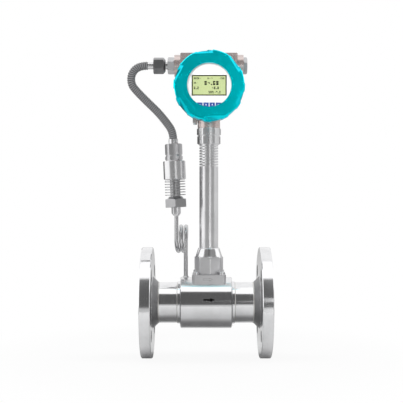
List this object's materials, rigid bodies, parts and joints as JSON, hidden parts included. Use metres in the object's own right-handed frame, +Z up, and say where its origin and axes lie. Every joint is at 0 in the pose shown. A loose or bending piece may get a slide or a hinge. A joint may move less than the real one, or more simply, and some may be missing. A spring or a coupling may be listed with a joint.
{
  "type": "vortex flow meter",
  "caption": "Flanged vortex flow meter: flow tube with shedder bar, finned stem, round display head and a pressure sensor on a siphon tube.",
  "frame": {"origin": "centre of the inlet flange's raised face, on the pipe axis", "axes": "+X along the pipe axis in the flow's direction, +Z up along the stem, -Y towards the display's front"},
  "size_m": [0.2157, 0.165, 0.453],
  "materials": {
    "polished_steel": "polished stainless steel",
    "satin_steel": "bead-blasted stainless steel",
    "plated_steel": "nickel-plated steel",
    "dark_nut": "dark nickel-plated steel",
    "housing_grey": "warm grey powder coat on die-cast aluminium",
    "cover_teal": "semi-gloss teal paint on die-cast aluminium",
    "window_glass": "clear toughened glass",
    "black_metal": "black anodised ring",
    "seal_rubber": "black nitrile rubber",
    "face_white": "white moulded face",
    "display_olive": "reflective green display in an olive frame",
    "key_blue": "blue moulded keys",
    "switch_black": "black moulded switch",
    "board_green": "green solder mask",
    "terminal_grey": "grey moulded terminal strip",
    "conduit_grey": "dark grey ribbed sheath"
  },
  "bodies": {
    "meter": {"inlet_flange": "polished_steel", "outlet_flange": "polished_steel", "inlet_pipe": "polished_steel", "outlet_pipe": "polished_steel", "meter_body": "polished_steel", "shedder_bar": "polished_steel", "sensor_probe": "polished_steel", "stem_foot": "polished_steel", "stem_tube": "polished_steel", "lower_nut": "polished_steel", "upper_nut": "polished_steel", "sensor_can": "polished_steel", "cooling_neck": "polished_steel", "siphon_tube": "polished_steel", "tube_fitting": "polished_steel", "process_hex": "polished_steel", "cone_washer": "polished_steel", "weld_bead": "polished_steel", "pressure_cell": "polished_steel", "base_plate": "satin_steel", "foot_screws": "plated_steel", "ground_screw": "plated_steel", "upper_ferrule": "plated_steel", "lower_ferrule": "plated_steel", "top_nut": "plated_steel", "sensor_locknut": "plated_steel", "lower_coupling": "plated_steel", "entry_adapter": "plated_steel", "blanking_plug": "plated_steel", "board_posts": "plated_steel", "display_posts": "plated_steel", "terminal_screws": "plated_steel", "upper_conduit_nut": "dark_nut", "housing": "housing_grey", "probe_gasket": "seal_rubber", "face_plate": "face_white", "lcd_panel": "display_olive", "key_switches": "switch_black", "display_board": "board_green", "main_board": "board_green", "terminal_block": "terminal_grey", "conduit": "conduit_grey"},
    "front_seal_ring": {"front_seal": "seal_rubber"},
    "front_cover_unit": {"front_cover": "cover_teal", "window_gasket": "seal_rubber", "window_glass": "window_glass", "window_ring": "black_metal"},
    "rear_seal_ring": {"rear_seal": "seal_rubber"},
    "rear_cover_unit": {"rear_cover": "cover_teal"},
    "key_1": {"key_1": "key_blue"},
    "key_2": {"key_2": "key_blue"},
    "key_3": {"key_3": "key_blue"},
    "key_4": {"key_4": "key_blue"}
  },
  "joints": [
    {"name": "front_cover_travel", "type": "slide", "parent": "meter", "child": "front_seal_ring", "axis": [0, -1, 0], "range_m": [0, 0.00905]},
    {"name": "front_cover_turn", "type": "hinge", "parent": "front_seal_ring", "child": "front_cover_unit", "pos_m": [0.1017, 0, 0.317], "axis": [0, -1, 0], "range_deg": [0, 2160]},
    {"name": "rear_cover_travel", "type": "slide", "parent": "meter", "child": "rear_seal_ring", "axis": [0, 1, 0], "range_m": [0, 0.00905]},
    {"name": "rear_cover_turn", "type": "hinge", "parent": "rear_seal_ring", "child": "rear_cover_unit", "pos_m": [0.1017, 0, 0.317], "axis": [0, 1, 0], "range_deg": [0, 2160]},
    {"name": "key_1_press", "type": "slide", "parent": "meter", "child": "key_1", "axis": [0, 1, 0], "range_m": [0, 0.0005], "stiffness_N_per_m": 600, "springref_m": -0.0003},
    {"name": "key_2_press", "type": "slide", "parent": "meter", "child": "key_2", "axis": [0, 1, 0], "range_m": [0, 0.0005], "stiffness_N_per_m": 600, "springref_m": -0.0003},
    {"name": "key_3_press", "type": "slide", "parent": "meter", "child": "key_3", "axis": [0, 1, 0], "range_m": [0, 0.0005], "stiffness_N_per_m": 600, "springref_m": -0.0003},
    {"name": "key_4_press", "type": "slide", "parent": "meter", "child": "key_4", "axis": [0, 1, 0], "range_m": [0, 0.0005], "stiffness_N_per_m": 600, "springref_m": -0.0003}
  ],
  "couplings": [
    {"joint": "front_cover_travel", "follows": "front_cover_turn", "m_per_rad": 0.00023873},
    {"joint": "rear_cover_travel", "follows": "rear_cover_turn", "m_per_rad": 0.00023873}
  ]
}
